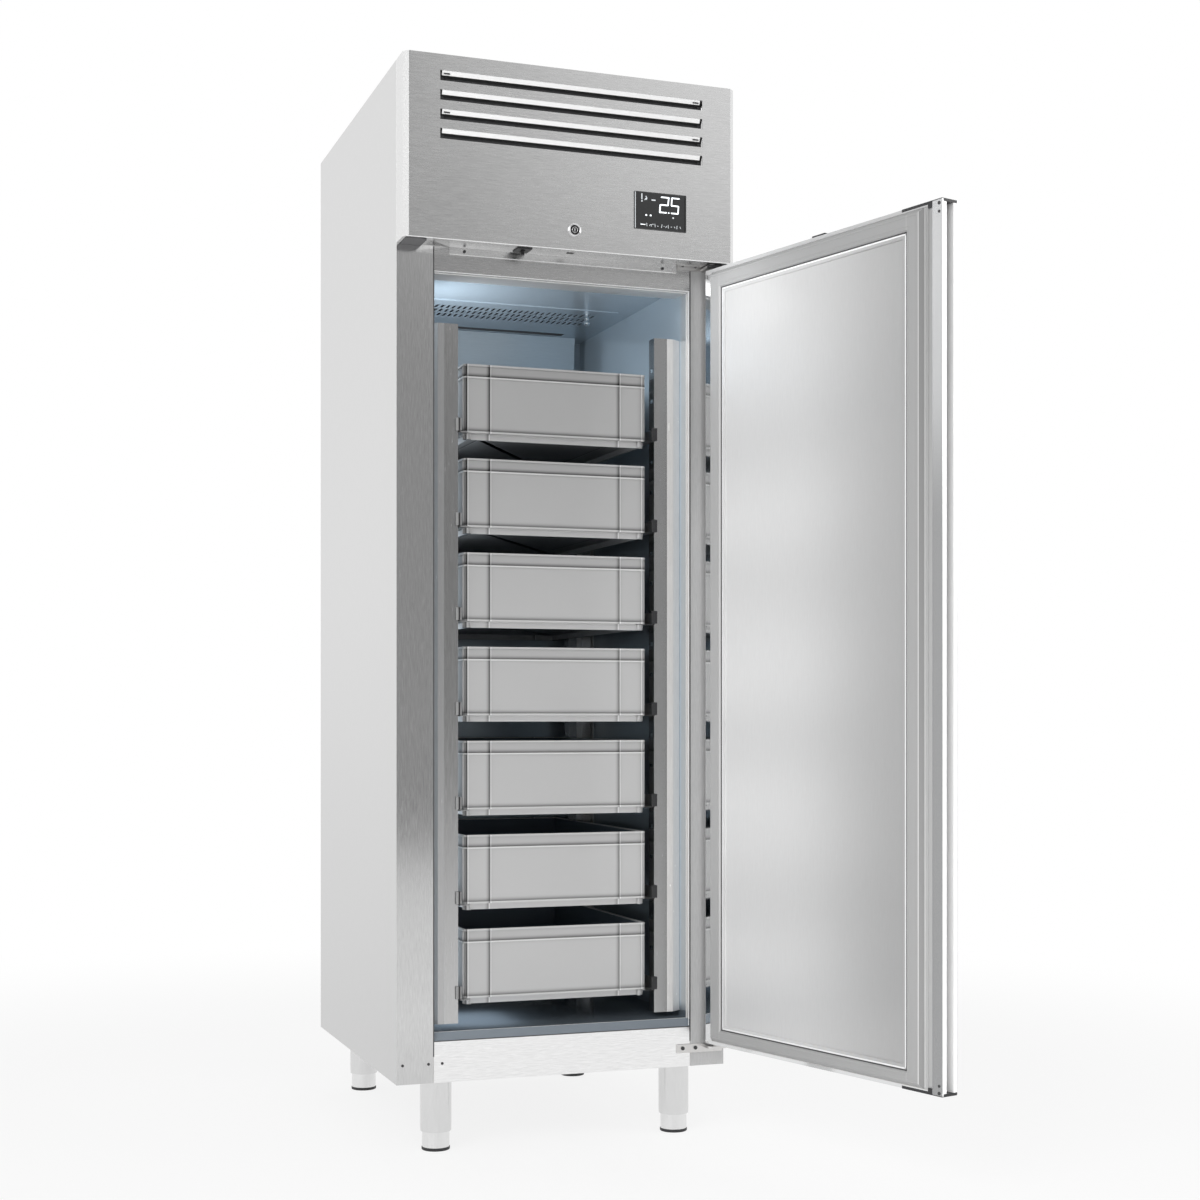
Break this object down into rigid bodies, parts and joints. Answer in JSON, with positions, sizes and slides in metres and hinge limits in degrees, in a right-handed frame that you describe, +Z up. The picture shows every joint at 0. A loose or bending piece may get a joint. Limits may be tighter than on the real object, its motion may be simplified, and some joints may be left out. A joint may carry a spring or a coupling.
{
  "type": "commercial fish refrigerator",
  "caption": "Tall upright refrigerator on four adjustable legs, with a hinged insulated door, slide-out fish boxes on runners and a cooling unit behind a louvred front panel.",
  "frame": {"origin": "on the floor, under the centre of the cabinet's footprint", "axes": "+X towards the hinge side, -Y out of the front, +Z up"},
  "size_m": [0.8603, 1.4553, 2.1692],
  "materials": {
    "steel_white_side": "satin",
    "steel_front": "satin",
    "steel_inside": "gloss",
    "steel_rack": "satin",
    "door_panel_steel": "gloss",
    "foam": "matte",
    "frame_plastic": "satin",
    "box_plastic": "matte",
    "gasket_rubber": "matte",
    "black_plastic": "matte",
    "dark_plate": "matte",
    "chrome_parts": "polished",
    "hinge_steel": "satin",
    "leg_steel": "satin",
    "coil_aluminium": "satin",
    "painted_black": "satin",
    "copper_pipe": "satin"
  },
  "bodies": {
    "cabinet": {"side_panel_left": "steel_white_side", "side_panel_right": "steel_white_side", "back_panel": "steel_white_side", "bottom_panel": "steel_white_side", "front_rails": "steel_front", "roof_panel": "steel_white_side", "body_foam": "foam", "inner_liner": "steel_inside", "breaker_frame": "frame_plastic", "rack_posts": "steel_rack", "box_runners": "steel_rack", "duct_panel": "steel_inside", "evaporator_cover": "steel_inside", "evaporator_housing": "steel_inside", "evaporator_coil": "coil_aluminium", "evaporator_fan_motor": "painted_black", "temperature_probe": "chrome_parts", "compressor": "painted_black", "condenser_coil": "coil_aluminium", "condenser_fan_mount": "painted_black", "refrigerant_pipes": "copper_pipe", "evaporation_tray": "steel_inside", "electrical_box": "black_plastic", "rear_grille": "steel_white_side", "hinge_bracket_top": "hinge_steel", "hinge_bracket_bottom": "hinge_steel", "leg_sleeves": "leg_steel", "cabinet_screws": "hinge_steel"},
    "door": {"door_skin": "steel_front", "door_foam": "foam", "door_pan": "door_panel_steel", "door_gasket": "gasket_rubber", "door_handle": "door_panel_steel", "door_end_caps": "black_plastic", "lock_keeper": "black_plastic", "door_screws": "hinge_steel"},
    "fascia": {"fascia_panel": "steel_front", "fascia_louvres": "steel_front", "air_filter": "black_plastic", "controller": "black_plastic", "lock_barrel": "chrome_parts", "hinge_cover": "dark_plate", "door_switch_base": "black_plastic", "fascia_screws": "hinge_steel"},
    "fish_box_1": {"fish_box_1": "box_plastic"},
    "fish_box_2": {"fish_box_2": "box_plastic"},
    "fish_box_3": {"fish_box_3": "box_plastic"},
    "fish_box_4": {"fish_box_4": "box_plastic"},
    "fish_box_5": {"fish_box_5": "box_plastic"},
    "fish_box_6": {"fish_box_6": "box_plastic"},
    "fish_box_7": {"fish_box_7": "box_plastic"},
    "key_plug": {"lock_plug": "hinge_steel"},
    "lock_slide": {"lock_bolt": "hinge_steel"},
    "switch_blade": {"door_switch_lever": "black_plastic"},
    "evaporator_fan": {"evaporator_fan_blades": "black_plastic"},
    "condenser_fan": {"condenser_fan_blades": "black_plastic"},
    "leg_foot_1": {"leg_foot_1": "leg_steel"},
    "leg_foot_2": {"leg_foot_2": "leg_steel"},
    "leg_foot_3": {"leg_foot_3": "leg_steel"},
    "leg_foot_4": {"leg_foot_4": "leg_steel"}
  },
  "joints": [
    {"name": "door_hinge", "type": "hinge", "parent": "cabinet", "child": "door", "pos_m": [0.321, -0.411, 1], "axis": [0, 0, 1], "range_deg": [-105.2, 0]},
    {"name": "box_1_slide", "type": "slide", "parent": "cabinet", "child": "fish_box_1", "axis": [0, -1, 0], "range_m": [0, 0.4]},
    {"name": "box_2_slide", "type": "slide", "parent": "cabinet", "child": "fish_box_2", "axis": [0, -1, 0], "range_m": [0, 0.4]},
    {"name": "box_3_slide", "type": "slide", "parent": "cabinet", "child": "fish_box_3", "axis": [0, -1, 0], "range_m": [0, 0.4]},
    {"name": "box_4_slide", "type": "slide", "parent": "cabinet", "child": "fish_box_4", "axis": [0, -1, 0], "range_m": [0, 0.4]},
    {"name": "box_5_slide", "type": "slide", "parent": "cabinet", "child": "fish_box_5", "axis": [0, -1, 0], "range_m": [0, 0.4]},
    {"name": "box_6_slide", "type": "slide", "parent": "cabinet", "child": "fish_box_6", "axis": [0, -1, 0], "range_m": [0, 0.4]},
    {"name": "box_7_slide", "type": "slide", "parent": "cabinet", "child": "fish_box_7", "axis": [0, -1, 0], "range_m": [0, 0.4]},
    {"name": "fascia_hinge", "type": "hinge", "parent": "cabinet", "child": "fascia", "pos_m": [0, -0.37525, 2.1662], "axis": [-1, 0, 0], "range_deg": [0, 70]},
    {"name": "key_turn", "type": "hinge", "parent": "fascia", "child": "key_plug", "pos_m": [0, -0.43, 1.8422], "axis": [0, 1, 0], "range_deg": [0, 90]},
    {"name": "bolt_slide", "type": "slide", "parent": "fascia", "child": "lock_slide", "axis": [0, 0, -1], "range_m": [0, 0.012]},
    {"name": "switch_press", "type": "hinge", "parent": "fascia", "child": "switch_blade", "pos_m": [-0.099, -0.403, 1.8124], "axis": [-1, 0, 0], "range_deg": [0, 25], "stiffness_Nm_per_rad": 0.02},
    {"name": "evaporator_fan_spin", "type": "hinge", "parent": "cabinet", "child": "evaporator_fan", "pos_m": [0, 0.115, 1.927], "axis": [0, 1, 0], "continuous": true},
    {"name": "condenser_fan_spin", "type": "hinge", "parent": "cabinet", "child": "condenser_fan", "pos_m": [-0.1, -0.2767, 1.982], "axis": [0, 1, 0], "continuous": true},
    {"name": "foot_1_screw", "type": "slide", "parent": "cabinet", "child": "leg_foot_1", "axis": [0, 0, -1], "range_m": [0, 0.03]},
    {"name": "foot_2_screw", "type": "slide", "parent": "cabinet", "child": "leg_foot_2", "axis": [0, 0, -1], "range_m": [0, 0.03]},
    {"name": "foot_3_screw", "type": "slide", "parent": "cabinet", "child": "leg_foot_3", "axis": [0, 0, -1], "range_m": [0, 0.03]},
    {"name": "foot_4_screw", "type": "slide", "parent": "cabinet", "child": "leg_foot_4", "axis": [0, 0, -1], "range_m": [0, 0.03]}
  ],
  "couplings": [
    {"joint": "key_turn", "follows": "bolt_slide", "rad_per_m": 130.89}
  ]
}
